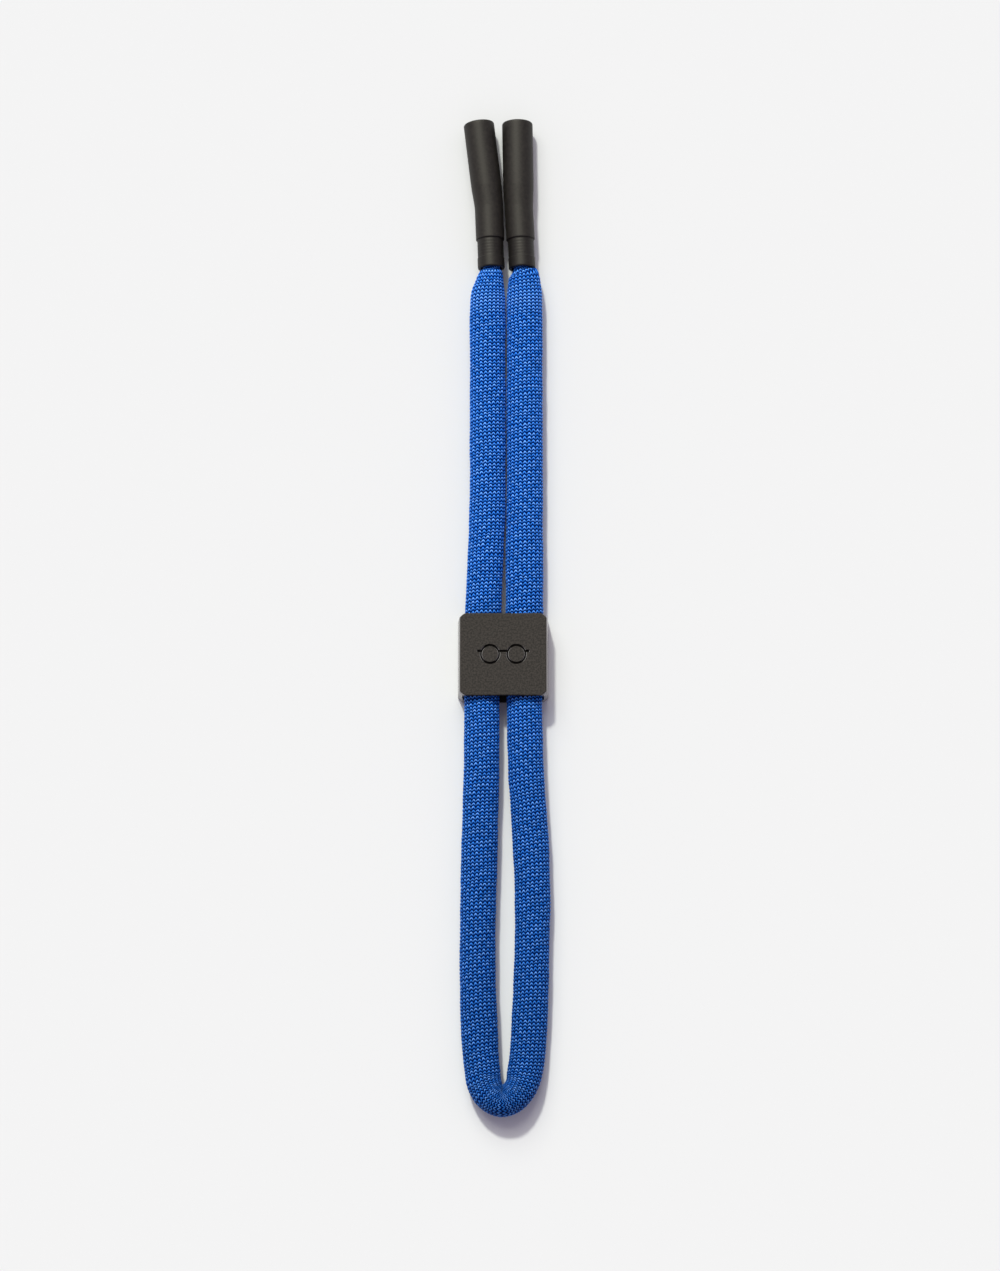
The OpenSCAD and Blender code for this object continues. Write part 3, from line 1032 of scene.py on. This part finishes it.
def slider_ring():
    """Once round the slider's section, as (outer x, outer z, inner x, inner z), with
    close steps across the mark"""
    half, slot_half = SLIDER_W / 2, SLOT_W / 2
    top_x, low_x, slot_x = half - SLIDER_TOP_R, half - SLIDER_LOW_R, slot_half - SLOT_CORNER
    top_z, low_z = SLIDER_H - SLIDER_TOP_R, SLIDER_LOW_R
    slot_top, slot_low = AXIS_Z + SLOT_H / 2, AXIS_Z - SLOT_H / 2
    turn_top, turn_low = slot_top - SLOT_CORNER, slot_low + SLOT_CORNER
    fine = np.linspace(-MARK_PATCH_W, MARK_PATCH_W, 245)
    coarse = np.linspace(MARK_PATCH_W, top_x, 12)[1:]
    across = np.concatenate([-coarse[::-1], fine, coarse])
    top = [(x, SLIDER_H, x / top_x * slot_x, slot_top) for x in across]

    def corner(x, z, radius, slot_z, angles):
        made = []
        for c, s in zip(np.cos(angles), np.sin(angles)):
            slot = (slot_x + SLOT_CORNER * c, slot_z + SLOT_CORNER * s)
            made.append((x + radius * c, z + radius * s, *slot))
        return made

    side = corner(top_x, top_z, SLIDER_TOP_R, turn_top, np.linspace(math.pi / 2, 0, 8)[1:])
    for t in np.linspace(0, 1, 10)[1:]:
        slot = (slot_half, turn_top + (turn_low - turn_top) * t)
        side.append((half, top_z + (low_z - top_z) * t, *slot))
    side += corner(low_x, low_z, SLIDER_LOW_R, turn_low, np.linspace(0, -math.pi / 2, 8)[1:])
    under = np.linspace(low_x, -low_x, 30)[1:-1]
    under = [(x, 0.0, x / low_x * slot_x, slot_low) for x in under]
    other_side = [(-a, b, -c, d) for a, b, c, d in side[::-1]]
    return np.array(top + side + under + other_side)


def slider_end(ring):
    """At each point of the ring: how far it leans out, where the slider ends, and how far
    the end's outer edge and the slot's lip are rounded"""
    _, oz, ix, _ = ring.T
    lean = SLIDER_LEAN * (1 - oz / SLIDER_H)
    beside = np.clip((np.abs(ix) - (SLOT_W / 2 - SLOT_CORNER)) / SLOT_CORNER, 0, 1)
    end_y = SLIDER_L / 2 - SIDE_SHORT * beside**2 + lean
    thick = np.where(beside > 0.5, SIDE_THICK, FLOOR_THICK)
    return lean, end_y, np.minimum(END_EDGE, 0.45 * thick), np.minimum(SLOT_LIP, 0.30 * thick)


def outside_at(ring, lean, y):
    """The slider's outside at y, drawn in round the plan corners"""
    ox, oz, _, _ = ring.T
    half = SLIDER_W / 2
    past = np.clip((np.abs(y) - lean - (SLIDER_L / 2 - SLIDER_CORNER)) / SLIDER_CORNER, 0, 1)
    # A straight cut across the corner, eased in over its first tenth
    cut = (np.sqrt(past**2 + 0.01) - 0.1) / 0.905
    x = ox * (half - SLIDER_CORNER * cut) / half
    return x + np.sign(ox) * lean * np.minimum(1, np.abs(ox) / half), oz


def slider_outside(ring, end):
    """The outside from end to end, with close steps across the mark and shorter and
    shorter ones toward the ends"""
    lean, end_y, edge, _ = end
    reach = end_y - edge - MARK_PATCH_L
    shares = 1 - (1 - np.linspace(0, 1, 26)[1:]) ** 1.6
    places = [-MARK_PATCH_L - share * reach for share in shares[::-1]]
    fine = np.linspace(-MARK_PATCH_L, MARK_PATCH_L, 103)
    places += [np.full(len(ring), y) for y in fine]
    places += [MARK_PATCH_L + share * reach for share in shares]
    layers = []
    for y in places:
        x, z = outside_at(ring, lean, y)
        layers.append(np.stack([x, y, z], -1))
    return layers


def slider_rim(ring, end, sign):
    """From the outside round the end's edge, across its face and round the slot's lip"""
    lean, end_y, edge, lip = end
    inner = ring[:, 2:]
    x, z = outside_at(ring, lean, sign * (end_y - edge))
    far_x, _ = outside_at(ring, lean, sign * end_y)
    made = []
    for a in np.linspace(0, math.pi / 2, 6)[1:]:
        t = math.sin(a)
        start = np.stack([x + (far_x - x) * t, z], -1)
        p = start + unit(inner - start) * (edge * (1 - math.cos(a)))[:, None]
        made.append(np.stack([p[:, 0], sign * (end_y - edge + edge * t), p[:, 1]], -1))
    start = made[-1][:, [0, 2]]
    stop = inner - unit(inner - start) * lip[:, None]
    for t in (0.5, 1.0):
        p = start + (stop - start) * t
        made.append(np.stack([p[:, 0], sign * end_y, p[:, 1]], -1))
    for a in np.linspace(0, math.pi / 2, 5)[1:]:
        p = stop + (inner - stop) * math.sin(a)
        made.append(np.stack([p[:, 0], sign * (end_y - lip * (1 - math.cos(a))), p[:, 1]], -1))
    return made


def make_slider():
    """A loft along the cord, out over the walls and back through the slot"""
    ring = slider_ring()
    end = slider_end(ring)
    _, end_y, _, lip = end
    layers = slider_outside(ring, end) + slider_rim(ring, end, 1)
    for t in np.linspace(1, -1, 14)[1:-1]:
        layers.append(np.stack([ring[:, 2], t * (end_y - lip), ring[:, 3]], -1))
    layers += slider_rim(ring, end, -1)[::-1]
    layers = engrave(np.array(layers))
    rows, cols = layers.shape[:2]
    i, k = np.meshgrid(np.arange(rows), np.arange(cols), indexing="ij")
    nxt, kn = (i + 1) % rows, (k + 1) % cols
    quads = np.stack([i * cols + k, nxt * cols + k, nxt * cols + kn, i * cols + kn], -1)
    piece = welded("slider_moulding", layers.reshape(-1, 3), quads.reshape(-1, 4))
    return finish_piece(piece, SLIDER, "slider", "slider", "slider")


# ---------------------------------------------------------------- filler
def make_filler():
    """Soft filler inside the tube: three drawn-out strands laid round each other"""
    cols = 36
    first, last = START_S + FILLER_GAP, END_S - FILLER_GAP
    count = int((last - first) / FILLER_STEP)
    s = np.linspace(first, last, count)[:, None]
    k = np.arange(cols)
    turn = k[None, :] / cols
    strands = np.abs(np.sin(1.5 * TURN * (turn + s / STRAND_TURN)))
    depth = FILLER_INSET + STRAND_DEPTH * (1 - strands) ** 2
    points = tube_point(s + 0 * turn, turn + 0 * s, depth).reshape(-1, 3)
    row = np.arange(count - 1)[:, None] * cols
    kn = (k + 1) % cols
    quads = np.stack([row + k, row + cols + k, row + cols + kn, row + kn], -1).reshape(-1, 4)
    total, top = count * cols, (count - 1) * cols
    near_cap = np.stack([k, kn, np.full(cols, total)], -1)
    far_cap = np.stack([top + kn, top + k, np.full(cols, total + 1)], -1)
    points = np.concatenate([points, at(np.array([first, last]), LINE)[:, :3]])
    piece = new_piece("cord_filler", points, quads, np.concatenate([near_cap, far_cap]))
    return finish_piece(piece, FILLER, "strap", "filler", "cord_core")


# ---------------------------------------------------------------- go
make_camera()
make_light()
make_floor()

YARN = yarn_paint()
FILLER = filler_paint()
RUBBER = black_paint("sleeve_rubber", 4200.0, 0.58, (0.0095, 0.0080, 0.0067))
FERRULE = black_paint("ferrule_rubber", 5200.0, 0.54, (0.0056, 0.0046, 0.0040))
SLIDER = slider_paint()
METAL = metal_paint()

left_neck = knit_piece("left_neck_knit", RUN[0], START_S, 1)
finish_piece(left_neck, YARN, None, "knit", "left_neck")
right_neck = knit_piece("right_neck_knit", END_S, RUN[-1], 1)
finish_piece(right_neck, YARN, None, "knit", "right_neck")
cord = knit_piece("knit_tube", START_S, END_S, 4)
finish_piece(cord, YARN, "strap", "knit", "knit_cord")
filler = make_filler()
for end in ENDS:
    make_ferrule(end)
    make_sleeve(end)
    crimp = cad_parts[end + "_crimp"]
    crimp.data.materials.clear()
    crimp.data.materials.append(METAL)
make_slider()

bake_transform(left_neck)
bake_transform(right_neck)
